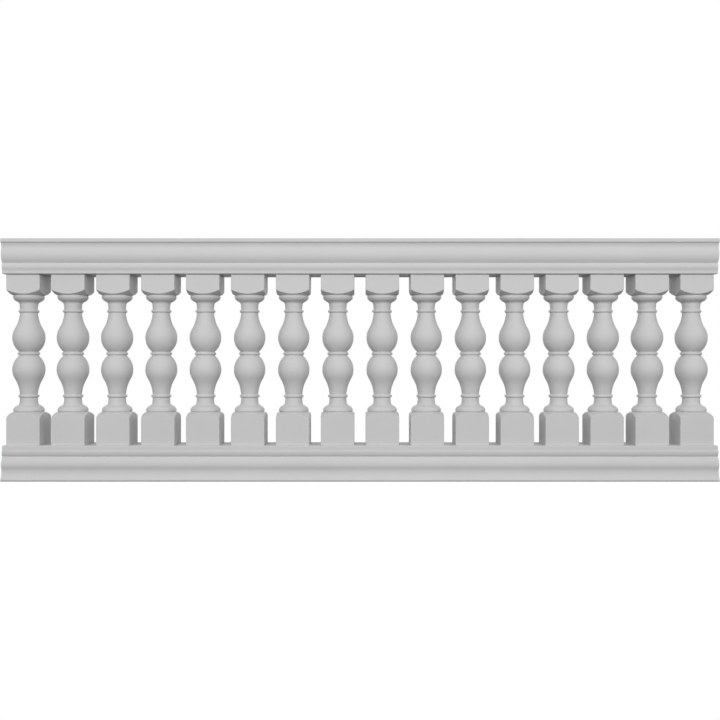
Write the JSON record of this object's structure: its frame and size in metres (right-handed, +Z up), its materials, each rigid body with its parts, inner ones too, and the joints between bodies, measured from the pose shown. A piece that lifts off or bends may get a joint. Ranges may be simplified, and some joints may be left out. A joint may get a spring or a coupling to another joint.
{
  "type": "fiberglass balustrade",
  "caption": "Straight classical balustrade: turned double-bellied balusters with square blocks between a moulded top rail and a moulded bottom rail, ends cut plain.",
  "frame": {"origin": "on the ground, under the middle of the run, centred between front and back", "axes": "+X runs along the rails, front faces -Y, +Z is up"},
  "size_m": [2.972, 0.2072, 1.006],
  "materials": {
    "gel_coat": "light grey primed gel coat over moulded fiberglass, satin to matt, very fine orange-peel",
    "end_plate": "light grey primed fiberglass sheet, flat and matt, bonded in flush"
  },
  "bodies": {
    "root": {"bottom_rail": "gel_coat", "top_rail": "gel_coat", "bottom_rail_cap_left": "end_plate", "bottom_rail_cap_right": "end_plate", "top_rail_cap_left": "end_plate", "top_rail_cap_right": "end_plate", "baluster_01": "gel_coat", "baluster_02": "gel_coat", "baluster_03": "gel_coat", "baluster_04": "gel_coat", "baluster_05": "gel_coat", "baluster_06": "gel_coat", "baluster_07": "gel_coat", "baluster_08": "gel_coat", "baluster_09": "gel_coat", "baluster_10": "gel_coat", "baluster_11": "gel_coat", "baluster_12": "gel_coat", "baluster_13": "gel_coat", "baluster_14": "gel_coat", "baluster_15": "gel_coat", "baluster_16": "gel_coat"}
  },
  "joints": []
}
